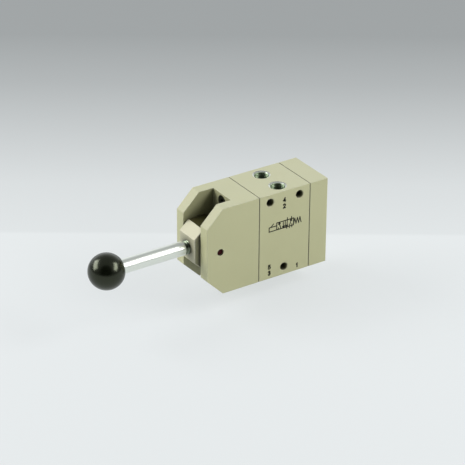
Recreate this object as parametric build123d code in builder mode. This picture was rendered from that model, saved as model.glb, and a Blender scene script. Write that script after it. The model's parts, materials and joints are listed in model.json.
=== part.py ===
"""Hand lever air valve, 5/2, spring return, in millimetres.

Frame: the origin is the centre of the valve body's underside. +X runs from the lever towards
the end cap, -Y is the front face and +Z is up.

Two spools lie side by side in the valve body, one behind the other in depth. The front one
serves ports 2 and 3 and the back one serves ports 4 and 5, and both are fed from port 1.
The lever's block turns on a pin and its flat cam face presses a plunger, which moves a bridge
plate, and that moves both spools against their return springs in the end cap.
"""

import os

from build123d import *

# Outside of the valve
valve_height = 51.0
valve_depth = 30.0
body_length = 32.5
cap_length = 11.5
housing_length = 33.0
corner_chamfer = 10.0
edge_break = 0.2
joint_sheet = 0.3
sheet_inset = 0.1

# Lever slot in the housing
ear_thickness = 6.5
end_wall = 14.0
pin_to_floor = 10.6

# Pivot pin and its washers
pin_diameter = 4.0
pin_recess = 0.8
pin_edge = 0.3
running_clearance = 0.03
washer_diameter = 9.0
washer_side_gap = 0.1

# Lever block, measured from the pin
block_side_gap = 1.0
block_half_height = 12.0
block_reach = 11.5
block_nose_half_height = 7.0
block_bevel_length = 5.5
cam_distance = 7.0
cam_half_height = 8.0
cam_bevel_length = 2.0
block_edge = 0.3

# Lever rod and its ball knob
rod_diameter = 8.0
rod_edge = 0.4
rod_length = 38.8
neck_diameter = 7.0
neck_exposed = 2.9
neck_engagement = 7.8
knob_diameter = 20.0
knob_flat_distance = 8.0
insert_diameter = 8.0
insert_length = 12.0
tail_diameter = 5.0
tail_length = 11.0

# Spools, their bores and the stack of seals and cages in each bore
bore_inset = 7.25
bore_diameter = 10.0
spool_diameter = 6.0
neck_of_spool_diameter = 4.2
seal_thickness = 1.6
end_seal_inset = 2.4
inner_seal_spacing = 9.25
inner_seal_shift = -0.1
seal_clearance = 0.02
cage_bore_clearance = 0.5
cage_window_width = 3.2
cage_rim = 1.0
port_lap = 0.4
open_neck_length = 5.0
spool_edge = 0.3

# Plunger and bridge plate
plunger_diameter = 9.0
plunger_nose = 1.0
plunger_rest_gap = 0.1
plunger_clearance = 0.05
rivet_diameter = 4.0
bush_wall = 1.2
wiper_width = 1.5
wiper_wall = 1.6
wiper_clearance = 0.05
pocket_depth = 6.0
pocket_clearance = 0.8
bridge_rest_gap = 0.2
bridge_thickness = 2.5
bridge_overhang = 3.5
bridge_half_height = 5.0
bridge_corner = 3.0

# Return springs and their seats
spring_pocket_diameter = 9.6
spring_pocket_depth = 9.0
seat_gap = 0.3
seat_diameter = 9.0
seat_thickness = 1.0
seat_boss_diameter = 5.6
seat_boss_height = 1.2
spring_wire = 0.8
spring_diameter = 7.6
spring_turns = 3.5

# Ports, G1/8 at their minor diameter
port_diameter = 8.566
port_rim_chamfer = 0.65
port_depth = 9.0
exhaust_inset = 6.5
supply_inset = 7.5
passage_diameter = 5.0
supply_passage_diameter = 7.5

# Holes that fasten the valve
mounting_hole_diameter = 4.5
mounting_hole_spacing = 19.0
mounting_hole_inset = 4.75
mounting_hole_rim = 0.3

# M4 socket head screws
screw_diameter = 4.0
screw_length = 14.0
screw_head_diameter = 7.0
screw_head_height = 4.0
screw_socket_width = 3.0
screw_socket_depth = 2.2
screw_socket_sides = 6
screw_hole_diameter = 4.4
tapped_hole_spare = 0.1
counterbore_diameter = 7.4
counterbore_depth = 4.2
housing_screw_inset = 4.7
cap_screw_inset = 4.5
cap_screw_half_height = 13.0

# Places that follow from the sizes above
mid_height = valve_height / 2
body_left = -body_length / 2
body_right = body_length / 2
housing_right = body_left - joint_sheet
housing_left = housing_right - housing_length
slot_floor = housing_right - end_wall
slot_width = valve_depth - 2 * ear_thickness
cap_left = body_right + joint_sheet
cap_right = cap_left + cap_length
pin_x = slot_floor - pin_to_floor
block_width = slot_width - 2 * block_side_gap
block_left = pin_x - block_reach
cam_face = pin_x + cam_distance
rod_right = block_left - neck_exposed
rod_left = rod_right - rod_length
knob_x = rod_left - knob_flat_distance
spool_stroke = seal_thickness + 2 * port_lap
plunger_left = cam_face + plunger_rest_gap
pocket_floor = housing_right - pocket_depth
bridge_left = pocket_floor + bridge_rest_gap
spool_left = bridge_left + bridge_thickness
spool_right = cap_left + seat_gap
seat_right = spool_right + seat_thickness
spring_floor = cap_left + spring_pocket_depth
bush_diameter = plunger_diameter + 2 * (plunger_clearance + bush_wall)
wiper_diameter = plunger_diameter + 2 * (wiper_clearance + wiper_wall)
bore_offset = valve_depth / 2 - bore_inset
outlet_position = 0.0
exhaust_position = body_left + exhaust_inset
supply_position = body_right - supply_inset
seal_positions = (
    body_left + end_seal_inset,
    outlet_position + inner_seal_shift - inner_seal_spacing / 2,
    outlet_position + inner_seal_shift + inner_seal_spacing / 2,
    body_right - end_seal_inset,
)
cap_screw_half_width = valve_depth / 2 - cap_screw_inset
housing_screw_heights = (housing_screw_inset, valve_height - housing_screw_inset)
cap_screw_places = [
    (y, mid_height + z)
    for y in (-cap_screw_half_width, cap_screw_half_width)
    for z in (-cap_screw_half_height, cap_screw_half_height)
]
bore_sides = {"front": -bore_offset, "back": bore_offset}

os.makedirs("parts", exist_ok=True)


def section(x):
    """A plane across the valve at x, facing +X, with its own axes along +Y and +Z."""
    return Plane((x, 0, 0), x_dir=(0, 1, 0), z_dir=(1, 0, 0))


def save(piece, name):
    """Labels a finished piece and writes it under its name."""
    piece.part.label = name
    export_step(piece.part, f"parts/{name}.step")


def mouths(piece, diameter, axis, level):
    """The round edges of one diameter where holes come out of a face at the given level."""
    rings = piece.edges().filter_by(GeomType.CIRCLE).filter_by_position(axis, level, level)
    return rings.filter_by(lambda ring: round(2 * ring.radius - diameter, 3) == 0)


def make_valve_body():
    """The block with both spool bores, five ports and the mounting holes."""
    with BuildPart() as body:
        with BuildSketch(section(body_left)):
            with Locations((0, mid_height)):
                Rectangle(valve_depth, valve_height)
        extrude(amount=body_length)
        for end in (body.faces().sort_by(Axis.X)[0], body.faces().sort_by(Axis.X)[-1]):
            chamfer(end.edges(), edge_break)
        # Spool bores
        with BuildSketch(section(body_left)):
            with Locations((-bore_offset, mid_height), (bore_offset, mid_height)):
                Circle(bore_diameter / 2)
        extrude(amount=body_length, mode=Mode.SUBTRACT)
        # Outlets 4 and 2 on top, exhausts 5 and 3 below
        for plane, x in (
            (Plane.XY.offset(valve_height), outlet_position),
            (Plane.XY, exhaust_position),
        ):
            inward = -1 if x == outlet_position else 1
            with BuildSketch(plane):
                with Locations((x, -bore_offset), (x, bore_offset)):
                    Circle(port_diameter / 2)
            extrude(amount=inward * port_depth, mode=Mode.SUBTRACT)
            with BuildSketch(plane):
                with Locations((x, -bore_offset), (x, bore_offset)):
                    Circle(passage_diameter / 2)
            extrude(amount=inward * mid_height, mode=Mode.SUBTRACT)
        # Supply 1, whose passage opens sideways into both bores
        with BuildSketch(Plane.XY):
            with Locations((supply_position, 0)):
                Circle(port_diameter / 2)
        extrude(amount=port_depth, mode=Mode.SUBTRACT)
        with BuildSketch(Plane.XY):
            with Locations((supply_position, 0)):
                Circle(supply_passage_diameter / 2)
        extrude(amount=mid_height, mode=Mode.SUBTRACT)
        # Countersunk rims of the ports
        for level in (0, valve_height):
            chamfer(mouths(body, port_diameter, Axis.Z, level), port_rim_chamfer)
        # Mounting holes from front to back
        with BuildSketch(Plane.XZ.offset(-valve_depth / 2)):
            with Locations((0, valve_height - mounting_hole_inset)):
                with GridLocations(mounting_hole_spacing, 1, 2, 1):
                    Circle(mounting_hole_diameter / 2)
            with Locations((0, mounting_hole_inset)):
                Circle(mounting_hole_diameter / 2)
        extrude(amount=valve_depth, mode=Mode.SUBTRACT)
        # Small countersinks at both ends of the mounting holes
        for side in (-valve_depth / 2, valve_depth / 2):
            chamfer(mouths(body, mounting_hole_diameter, Axis.Y, side), mounting_hole_rim)
        # Tapped holes for the screws of the housing and of the cap
        housing_tap = screw_length - (end_wall - counterbore_depth) - joint_sheet + tapped_hole_spare
        with BuildSketch(section(body_left)):
            with Locations(*[(0, z) for z in housing_screw_heights]):
                Circle(screw_diameter / 2)
        extrude(amount=housing_tap, mode=Mode.SUBTRACT)
        cap_tap = screw_length - (cap_length - counterbore_depth) - joint_sheet + tapped_hole_spare
        with BuildSketch(section(body_right)):
            with Locations(*cap_screw_places):
                Circle(screw_diameter / 2)
        extrude(amount=-cap_tap, mode=Mode.SUBTRACT)
    save(body, "valve_body")


def make_lever_housing():
    """The housing with its two ears, cut corners and the slot that the lever turns in."""
    with BuildPart() as housing:
        with BuildSketch(Plane.XZ.offset(-valve_depth / 2)):
            with BuildLine():
                Polyline(
                    (housing_right, 0),
                    (housing_right, valve_height),
                    (housing_left + corner_chamfer, valve_height),
                    (housing_left, valve_height - corner_chamfer),
                    (housing_left, corner_chamfer),
                    (housing_left + corner_chamfer, 0),
                    close=True,
                )
            make_face()
        extrude(amount=valve_depth)
        chamfer(housing.faces().sort_by(Axis.X)[-1].edges(), edge_break)
        # Slot for the lever, open on three sides
        with BuildSketch(Plane.XY):
            with Locations(((housing_left + slot_floor) / 2, 0)):
                Rectangle(slot_floor - housing_left, slot_width)
        extrude(amount=valve_height, mode=Mode.SUBTRACT)
        # Hole for the pivot pin through both ears
        with BuildSketch(Plane.XZ.offset(-valve_depth / 2)):
            with Locations((pin_x, mid_height)):
                Circle(pin_diameter / 2)
        extrude(amount=valve_depth, mode=Mode.SUBTRACT)
        # Bush bore, and the wider seat of the wiper ring at its slot end
        with BuildSketch(section(slot_floor)):
            with Locations((0, mid_height)):
                Circle(bush_diameter / 2)
        extrude(amount=end_wall, mode=Mode.SUBTRACT)
        with BuildSketch(section(slot_floor)):
            with Locations((0, mid_height)):
                Circle(wiper_diameter / 2)
        extrude(amount=wiper_width, mode=Mode.SUBTRACT)
        # Pocket for the bridge plate
        with BuildSketch(section(pocket_floor)):
            with Locations((0, mid_height)):
                RectangleRounded(
                    2 * (bore_offset + bridge_overhang + pocket_clearance),
                    2 * (bridge_half_height + pocket_clearance),
                    bridge_corner,
                )
        extrude(amount=pocket_depth, mode=Mode.SUBTRACT)
        # Screw holes, counterbored from the slot
        with BuildSketch(section(slot_floor)):
            with Locations(*[(0, z) for z in housing_screw_heights]):
                Circle(screw_hole_diameter / 2)
        extrude(amount=end_wall, mode=Mode.SUBTRACT)
        with BuildSketch(section(slot_floor)):
            with Locations(*[(0, z) for z in housing_screw_heights]):
                Circle(counterbore_diameter / 2)
        extrude(amount=counterbore_depth, mode=Mode.SUBTRACT)
    save(housing, "lever_housing")


def make_end_cap():
    """The cap with the spring pockets and four counterbored screw holes."""
    with BuildPart() as cap:
        with BuildSketch(section(cap_left)):
            with Locations((0, mid_height)):
                Rectangle(valve_depth, valve_height)
        extrude(amount=cap_length)
        for end in (cap.faces().sort_by(Axis.X)[0], cap.faces().sort_by(Axis.X)[-1]):
            chamfer(end.edges(), edge_break)
        with BuildSketch(section(cap_left)):
            with Locations((-bore_offset, mid_height), (bore_offset, mid_height)):
                Circle(spring_pocket_diameter / 2)
        extrude(amount=spring_pocket_depth, mode=Mode.SUBTRACT)
        with BuildSketch(section(cap_left)):
            with Locations(*cap_screw_places):
                Circle(screw_hole_diameter / 2)
        extrude(amount=cap_length, mode=Mode.SUBTRACT)
        with BuildSketch(section(cap_right)):
            with Locations(*cap_screw_places):
                Circle(counterbore_diameter / 2)
        extrude(amount=-counterbore_depth, mode=Mode.SUBTRACT)
    save(cap, "end_cap")


def make_sheet(name, left, hole_places, passing_diameter):
    """A thin sheet clamped in a joint, with holes for the spools and the screws."""
    with BuildPart() as sheet:
        with BuildSketch(section(left)):
            with Locations((0, mid_height)):
                Rectangle(valve_depth - 2 * sheet_inset, valve_height - 2 * sheet_inset)
            with Locations((-bore_offset, mid_height), (bore_offset, mid_height)):
                Circle(passing_diameter / 2, mode=Mode.SUBTRACT)
            with Locations(*hole_places):
                Circle(screw_hole_diameter / 2, mode=Mode.SUBTRACT)
        extrude(amount=joint_sheet)
    save(sheet, name)


def make_pivot():
    """The pivot pin, and a washer on each side of the lever block."""
    pin_half_length = valve_depth / 2 - pin_recess
    with BuildPart() as pin:
        with BuildSketch(Plane.XZ.offset(-pin_half_length)):
            with Locations((pin_x, mid_height)):
                Circle(pin_diameter / 2)
        extrude(amount=2 * pin_half_length)
        chamfer(pin.edges().filter_by(GeomType.CIRCLE), pin_edge)
    save(pin, "pivot_pin")
    washer_thickness = block_side_gap - washer_side_gap
    with BuildPart() as washers:
        for side_plane in (
            Plane.XZ.offset(slot_width / 2 - washer_thickness),
            Plane.XZ.offset(-slot_width / 2),
        ):
            with BuildSketch(side_plane):
                with Locations((pin_x, mid_height)):
                    Circle(washer_diameter / 2)
                    Circle(pin_diameter / 2 + running_clearance, mode=Mode.SUBTRACT)
            extrude(amount=washer_thickness)
    save(washers, "pivot_washers")


def make_lever_block():
    """The bevelled block that turns on the pin, with its flat cam face towards the plunger."""
    with BuildPart() as block:
        with BuildSketch(Plane.XZ.offset(-block_width / 2)):
            with BuildLine():
                Polyline(
                    (block_left, mid_height - block_nose_half_height),
                    (block_left + block_bevel_length, mid_height - block_half_height),
                    (cam_face - cam_bevel_length, mid_height - block_half_height),
                    (cam_face, mid_height - cam_half_height),
                    (cam_face, mid_height + cam_half_height),
                    (cam_face - cam_bevel_length, mid_height + block_half_height),
                    (block_left + block_bevel_length, mid_height + block_half_height),
                    (block_left, mid_height + block_nose_half_height),
                    close=True,
                )
            make_face()
        extrude(amount=block_width)
        side_faces = block.faces().sort_by(Axis.Y)
        chamfer(side_faces[0].edges() + side_faces[-1].edges(), block_edge)
        with BuildSketch(Plane.XZ.offset(-block_width / 2)):
            with Locations((pin_x, mid_height)):
                Circle(pin_diameter / 2 + running_clearance)
        extrude(amount=block_width, mode=Mode.SUBTRACT)
        with BuildSketch(section(block_left)):
            with Locations((0, mid_height)):
                Circle(neck_diameter / 2)
        extrude(amount=neck_engagement, mode=Mode.SUBTRACT)
    save(block, "lever_block")


def make_lever_rod():
    """The round rod: a tail for the knob, the polished grip and the threaded neck."""
    with BuildPart() as rod:
        with BuildSketch(Plane.XZ):
            with BuildLine():
                Polyline(
                    (rod_left - tail_length, mid_height),
                    (rod_left - tail_length, mid_height + tail_diameter / 2),
                    (rod_left, mid_height + tail_diameter / 2),
                    (rod_left, mid_height + rod_diameter / 2),
                    (rod_right - rod_edge, mid_height + rod_diameter / 2),
                    (rod_right, mid_height + rod_diameter / 2 - rod_edge),
                    (rod_right, mid_height + neck_diameter / 2),
                    (block_left + neck_engagement, mid_height + neck_diameter / 2),
                    (block_left + neck_engagement, mid_height),
                    close=True,
                )
            make_face()
        revolve(axis=Axis((0, 0, mid_height), (1, 0, 0)))
    save(rod, "lever_rod")


def make_knob():
    """The ball knob with a flat towards the rod, and its threaded insert."""
    knob_radius = knob_diameter / 2
    with BuildPart() as knob:
        with BuildSketch(Plane.XZ):
            with Locations((knob_x, mid_height)):
                Circle(knob_radius)
                Rectangle(knob_diameter, knob_radius, align=(Align.CENTER, Align.MAX), mode=Mode.SUBTRACT)
            with Locations((rod_left, mid_height)):
                Rectangle(knob_diameter, knob_diameter, align=(Align.MIN, Align.CENTER), mode=Mode.SUBTRACT)
                Rectangle(insert_length, insert_diameter, align=(Align.MAX, Align.CENTER), mode=Mode.SUBTRACT)
        revolve(axis=Axis((0, 0, mid_height), (1, 0, 0)))
    save(knob, "ball_knob")
    with BuildPart() as insert:
        with BuildSketch(section(rod_left)):
            with Locations((0, mid_height)):
                Circle(insert_diameter / 2)
        extrude(amount=-insert_length)
        with BuildSketch(section(rod_left)):
            with Locations((0, mid_height)):
                Circle(tail_diameter / 2)
        extrude(amount=-tail_length, mode=Mode.SUBTRACT)
    save(insert, "knob_insert")


def make_plunger():
    """The plunger with the rivet that holds the bridge plate, and the pieces that guide it."""
    with BuildPart() as plunger:
        with BuildSketch(section(plunger_left)):
            with Locations((0, mid_height)):
                Circle(plunger_diameter / 2)
        extrude(amount=bridge_left - plunger_left)
        fillet(plunger.edges().sort_by(Axis.X)[0], plunger_nose)
        with BuildSketch(section(bridge_left)):
            with Locations((0, mid_height)):
                Circle(rivet_diameter / 2)
        extrude(amount=bridge_thickness)
    save(plunger, "plunger")

    with BuildPart() as bridge:
        with BuildSketch(section(bridge_left)):
            with Locations((0, mid_height)):
                RectangleRounded(
                    2 * (bore_offset + bridge_overhang),
                    2 * bridge_half_height,
                    bridge_corner,
                )
                Circle(rivet_diameter / 2, mode=Mode.SUBTRACT)
        extrude(amount=bridge_thickness)
    save(bridge, "bridge_plate")

    with BuildPart() as bush:
        with BuildSketch(section(slot_floor + wiper_width)):
            with Locations((0, mid_height)):
                Circle(bush_diameter / 2)
                Circle(plunger_diameter / 2 + plunger_clearance, mode=Mode.SUBTRACT)
        extrude(amount=end_wall - pocket_depth - wiper_width)
    save(bush, "plunger_bush")

    with BuildPart() as wiper:
        with BuildSketch(section(slot_floor)):
            with Locations((0, mid_height)):
                Circle(wiper_diameter / 2)
                Circle(plunger_diameter / 2 + wiper_clearance, mode=Mode.SUBTRACT)
        extrude(amount=wiper_width)
    save(wiper, "plunger_wiper")


def make_seals(side, y):
    """Four seal rings in one bore, which the lands of the spool slide through."""
    with BuildPart() as seals:
        for middle in seal_positions:
            with BuildSketch(section(middle - seal_thickness / 2)):
                with Locations((y, mid_height)):
                    Circle(bore_diameter / 2)
                    Circle(spool_diameter / 2 + seal_clearance, mode=Mode.SUBTRACT)
            extrude(amount=seal_thickness)
    save(seals, f"{side}_spool_seals")


def make_cages(side, y):
    """The collars and windowed cages that hold the seals apart in one bore."""
    starts = [body_left] + [x + seal_thickness / 2 for x in seal_positions]
    stops = [x - seal_thickness / 2 for x in seal_positions] + [body_right]
    with BuildPart() as cages:
        for start, stop in zip(starts, stops):
            with BuildSketch(section(start)):
                with Locations((y, mid_height)):
                    Circle(bore_diameter / 2)
                    Circle(spool_diameter / 2 + cage_bore_clearance, mode=Mode.SUBTRACT)
            extrude(amount=stop - start)
        # Windows between the two rims of each chamber's cage let the air through
        for start, stop in list(zip(starts, stops))[1:-1]:
            for plane in (
                Plane.XY.offset(mid_height - bore_diameter / 2),
                Plane.XZ.offset(-y - bore_diameter / 2),
            ):
                centre_across = y if plane.z_dir.Z > 0 else mid_height
                with BuildSketch(plane):
                    with Locations(((start + stop) / 2, centre_across)):
                        Rectangle(stop - start - 2 * cage_rim, cage_window_width)
                extrude(amount=bore_diameter, mode=Mode.SUBTRACT)
    save(cages, f"{side}_spool_cages")


def make_spool(side, y, necks):
    """A spool of one diameter, turned down at the necks, which open one seal and close another."""
    with BuildPart() as spool:
        with BuildSketch(section(spool_left)):
            with Locations((y, mid_height)):
                Circle(spool_diameter / 2)
        extrude(amount=spool_right - spool_left)
        chamfer(spool.edges().filter_by(GeomType.CIRCLE), spool_edge)
        for start, stop in necks:
            with BuildSketch(section(start)):
                with Locations((y, mid_height)):
                    Circle(bore_diameter / 2)
                    Circle(neck_of_spool_diameter / 2, mode=Mode.SUBTRACT)
            extrude(amount=stop - start, mode=Mode.SUBTRACT)
    save(spool, f"{side}_spool")


def make_spring(side, y):
    """The return spring of one spool, and the seat that centres it on the spool's end."""
    with BuildPart() as seat:
        with BuildSketch(section(spool_right)):
            with Locations((y, mid_height)):
                Circle(seat_diameter / 2)
        extrude(amount=seat_thickness)
        with BuildSketch(section(seat_right)):
            with Locations((y, mid_height)):
                Circle(seat_boss_diameter / 2)
        extrude(amount=seat_boss_height)
    save(seat, f"{side}_spring_seat")

    coil_length = spring_floor - seat_right - spring_wire
    with BuildPart() as spring:
        with BuildLine() as coil:
            Helix(
                pitch=coil_length / spring_turns,
                height=coil_length,
                radius=spring_diameter / 2,
                center=(seat_right + spring_wire / 2, y, mid_height),
                direction=(1, 0, 0),
            )
        with BuildSketch(coil.line ^ 0):
            Rectangle(spring_wire * 0.9, spring_wire * 0.9)
        sweep(is_frenet=True)
    save(spring, f"{side}_return_spring")


def make_screws(name, head_x, direction, places):
    """Socket head screws at the given places, whose heads sit at head_x and shanks run along X."""
    with BuildPart() as screws:
        with BuildSketch(section(head_x)):
            with Locations(*places):
                Circle(screw_head_diameter / 2)
        extrude(amount=-direction * screw_head_height)
        with BuildSketch(section(head_x - direction * screw_head_height)):
            with Locations(*places):
                RegularPolygon(screw_socket_width / 2, screw_socket_sides, major_radius=False)
        extrude(amount=direction * screw_socket_depth, mode=Mode.SUBTRACT)
        with BuildSketch(section(head_x)):
            with Locations(*places):
                Circle(screw_diameter / 2)
        extrude(amount=direction * screw_length)
    save(screws, name)


make_valve_body()
make_lever_housing()
make_end_cap()
make_sheet(
    "seal_plate",
    housing_right,
    [(0, z) for z in housing_screw_heights],
    spool_diameter + 2 * cage_bore_clearance,
)
make_sheet("cap_gasket", body_right, cap_screw_places, spring_pocket_diameter)
make_pivot()
make_lever_block()
make_lever_rod()
make_knob()
make_plunger()

# Edges of the two inner seals, which the necks of the spools pass
left_seal_outer = seal_positions[1] - seal_thickness / 2
right_seal_inner = seal_positions[2] - seal_thickness / 2
closed_at_rest = [(left_seal_outer - port_lap, right_seal_inner - port_lap)]
open_at_rest = [
    (left_seal_outer - port_lap - open_neck_length, left_seal_outer - port_lap),
    (right_seal_inner - port_lap, right_seal_inner - port_lap + open_neck_length),
]
for side, y in bore_sides.items():
    make_seals(side, y)
    make_cages(side, y)
    make_spool(side, y, open_at_rest if side == "front" else closed_at_rest)
    make_spring(side, y)

make_screws(
    "housing_screws",
    slot_floor + counterbore_depth,
    1,
    [(0, z) for z in housing_screw_heights],
)
make_screws("cap_screws", cap_right - counterbore_depth, -1, cap_screw_places)
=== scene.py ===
# %% [markdown]
# # A hand lever air valve
# The valve is a block of anodised aluminium in three parts: a slotted housing for the lever,
# the valve body with its ports, and an end cap. The shapes that fit and move come from the
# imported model. This file gives every surface its finish and adds what a machinist or a
# printer adds last: threads, the polish of the rod and the knob, and the printed marks.

# %% Load the frame
import json
import math

import bmesh
import bpy
import numpy as np
from mathutils import Matrix, Vector


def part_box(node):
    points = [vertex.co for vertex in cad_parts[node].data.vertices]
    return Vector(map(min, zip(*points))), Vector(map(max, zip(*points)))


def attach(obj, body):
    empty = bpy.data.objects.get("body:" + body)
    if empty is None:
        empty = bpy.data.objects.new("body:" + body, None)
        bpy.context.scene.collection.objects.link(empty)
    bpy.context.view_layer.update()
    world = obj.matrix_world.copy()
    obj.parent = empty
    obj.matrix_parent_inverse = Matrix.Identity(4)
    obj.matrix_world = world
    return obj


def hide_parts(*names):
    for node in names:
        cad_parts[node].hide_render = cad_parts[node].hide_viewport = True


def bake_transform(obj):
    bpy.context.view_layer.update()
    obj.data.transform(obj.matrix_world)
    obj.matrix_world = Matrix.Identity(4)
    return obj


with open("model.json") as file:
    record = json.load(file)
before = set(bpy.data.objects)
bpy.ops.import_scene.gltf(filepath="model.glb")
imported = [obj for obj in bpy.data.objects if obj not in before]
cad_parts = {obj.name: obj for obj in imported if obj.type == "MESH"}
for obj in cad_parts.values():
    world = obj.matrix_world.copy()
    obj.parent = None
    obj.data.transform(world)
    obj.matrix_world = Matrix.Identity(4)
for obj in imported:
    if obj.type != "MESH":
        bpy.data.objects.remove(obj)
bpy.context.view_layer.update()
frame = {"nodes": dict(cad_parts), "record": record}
MM = 0.001
mounts = {m["name"]: m for m in frame["record"]["mounts"]}

# %% [markdown]
# ## Colours
# Colours are given as a designer reads them off a swatch, 0 to 255. Blender computes with
# linear light, so each one is converted once here.


# %% Colour helper
def swatch(red, green, blue):
    """A swatch colour in linear light: the standard curve, with its straight foot."""
    value = np.array([red, green, blue]) / 255.0
    linear = np.where(value <= 0.04045, value / 12.92, ((value + 0.055) / 1.055) ** 2.4)
    return (*linear.tolist(), 1.0)


print("mid grey in linear light:", round(swatch(128, 128, 128)[0], 3))

# %% [markdown]
# ## Shared surface effects
# Some effects come back in several finishes: worn edges, a fine tooth, scratches, painted shade
# in crevices and a painted sheen on faces that look up. Each is a node group, built once and
# placed in each material with its own values.
# Three small helpers keep the groups short to write.


# %% Node group helpers
def new_group(name, inputs, outputs):
    """An empty shader group with the named float sockets and their default values."""
    group = bpy.data.node_groups.new(name, "ShaderNodeTree")
    for label, value in inputs:
        socket = group.interface.new_socket(label, in_out="INPUT", socket_type="NodeSocketFloat")
        socket.default_value = value
    for label, kind in outputs:
        group.interface.new_socket(label, in_out="OUTPUT", socket_type=kind)
    return group, group.nodes.new("NodeGroupInput"), group.nodes.new("NodeGroupOutput")


def math_node(nodes, links, operation, first, second, clamp=False):
    """A Math node whose two inputs are either sockets to link or plain numbers."""
    node = nodes.new("ShaderNodeMath")
    node.operation = operation
    node.use_clamp = clamp
    for index, value in enumerate((first, second)):
        if isinstance(value, (int, float)):
            node.inputs[index].default_value = value
        else:
            links.new(value, node.inputs[index])
    return node.outputs[0]


def noise(nodes, links, vector, scale, detail=2.0):
    """A noise texture's value on the given coordinates; the scale may be a socket."""
    node = nodes.new("ShaderNodeTexNoise")
    node.inputs["Detail"].default_value = detail
    links.new(vector, node.inputs["Vector"])
    if isinstance(scale, (int, float)):
        node.inputs["Scale"].default_value = scale
    else:
        links.new(scale, node.inputs["Scale"])
    return node.outputs["Fac"]


# %% [markdown]
# Handling rubs a finish off its edges first. A painted line along each edge would need the
# edges marked by hand. Comparing the surface's own normal with one rounded over a small radius
# finds them all: where the two differ there is an edge, and a noise breaks the line up.

# %% Edge wear
BEVEL_SAMPLES = 4
BREAKUP_GAIN = 1.6


def make_edge_wear():
    """A mask that is 1 on sharp edges: one minus the dot of the plain and the rounded normal."""
    group, given, result = new_group(
        "edge_wear",
        [("Radius", 0.4 * MM), ("Gain", 6.0), ("Breakup Scale", 900.0)],
        [("Mask", "NodeSocketFloat"), ("Normal", "NodeSocketVector")],
    )
    nodes, links = group.nodes, group.links
    bevel = nodes.new("ShaderNodeBevel")
    bevel.samples = BEVEL_SAMPLES
    links.new(given.outputs["Radius"], bevel.inputs["Radius"])
    geometry = nodes.new("ShaderNodeNewGeometry")
    dot = nodes.new("ShaderNodeVectorMath")
    dot.operation = "DOT_PRODUCT"
    links.new(bevel.outputs["Normal"], dot.inputs[0])
    links.new(geometry.outputs["Normal"], dot.inputs[1])
    bend = math_node(nodes, links, "SUBTRACT", 1.0, dot.outputs["Value"])
    gained = math_node(nodes, links, "MULTIPLY", bend, given.outputs["Gain"], clamp=True)
    place = nodes.new("ShaderNodeTexCoord").outputs["Object"]
    broken = noise(nodes, links, place, given.outputs["Breakup Scale"])
    broken = math_node(nodes, links, "MULTIPLY", broken, BREAKUP_GAIN, clamp=True)
    links.new(math_node(nodes, links, "MULTIPLY", gained, broken), result.inputs["Mask"])
    links.new(bevel.outputs["Normal"], result.inputs["Normal"])
    return group


EDGE_WEAR = make_edge_wear()
print("edge wear inputs:", [item.name for item in EDGE_WEAR.interface.items_tree])

# %% [markdown]
# Blasting and moulding leave a tooth far too fine to model, and no batch of metal or plastic
# has one even tone. Two noises, a fine one and a slow one, give both.


# %% Grain
def make_grain():
    """Blasted tooth: fine noise for the height, and a slow noise for clouds of tone."""
    group, given, result = new_group(
        "grain",
        [("Tooth Scale", 5200.0), ("Cloud Scale", 60.0)],
        [("Tooth", "NodeSocketFloat"), ("Cloud", "NodeSocketFloat")],
    )
    nodes, links = group.nodes, group.links
    place = nodes.new("ShaderNodeTexCoord").outputs["Object"]
    tooth = noise(nodes, links, place, given.outputs["Tooth Scale"], detail=3.0)
    cloud = noise(nodes, links, place, given.outputs["Cloud Scale"], detail=4.0)
    links.new(tooth, result.inputs["Tooth"])
    links.new(cloud, result.inputs["Cloud"])
    return group


GRAIN = make_grain()
print("grain puts out:", [item.name for item in GRAIN.interface.items_tree if item.in_out == "OUTPUT"])

# %% [markdown]
# Turning, milling and rolling leave long scratches in one direction, which a machinist calls
# the lay. A noise becomes scratches when its coordinates are stretched unevenly.


# %% Lay
def make_lay():
    """Scratches along one axis: noise on coordinates that are stretched unevenly."""
    group, given, result = new_group(
        "lay",
        [("Along X", 40.0), ("Along Y", 4000.0), ("Along Z", 4000.0)],
        [("Scratch", "NodeSocketFloat")],
    )
    nodes, links = group.nodes, group.links
    place = nodes.new("ShaderNodeTexCoord").outputs["Object"]
    stretch = nodes.new("ShaderNodeCombineXYZ")
    for axis in "XYZ":
        links.new(given.outputs[f"Along {axis}"], stretch.inputs[axis])
    product = nodes.new("ShaderNodeVectorMath")
    product.operation = "MULTIPLY"
    links.new(place, product.inputs[0])
    links.new(stretch.outputs[0], product.inputs[1])
    links.new(noise(nodes, links, product.outputs[0], 1.0, detail=3.0), result.inputs["Scratch"])
    return group


LAY = make_lay()
print("lay group made:", LAY.name)

# %% [markdown]
# Deep holes and the lever's slot are given painted shade: their colour is darkened where shade
# falls, on top of the shade that the lamps cast. Ambient occlusion measures how shut in a point
# is, so it gives the mask for that painted shade. One group looks only at the piece's own walls,
# which keeps the floor out of it. The other looks at neighbours too, for the lever block between
# the ears and the threads inside the ports.

# %% Painted crevice shade
OCCLUSION_SAMPLES = 8


def make_crevice(name, own_walls_only):
    """A mask that is 1 where the surface is shut in, from occlusion over the given reach."""
    group, given, result = new_group(
        name,
        [("Reach", 9.0 * MM), ("Start", 0.55), ("Strength", 0.8)],
        [("Mask", "NodeSocketFloat")],
    )
    nodes, links = group.nodes, group.links
    occlusion = nodes.new("ShaderNodeAmbientOcclusion")
    occlusion.samples = OCCLUSION_SAMPLES
    occlusion.only_local = own_walls_only
    links.new(given.outputs["Reach"], occlusion.inputs["Distance"])
    shut = math_node(nodes, links, "SUBTRACT", given.outputs["Start"], occlusion.outputs["AO"])
    share = math_node(nodes, links, "DIVIDE", shut, given.outputs["Start"], clamp=True)
    mask = math_node(nodes, links, "MULTIPLY", share, given.outputs["Strength"], clamp=True)
    links.new(mask, result.inputs["Mask"])
    return group


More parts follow.
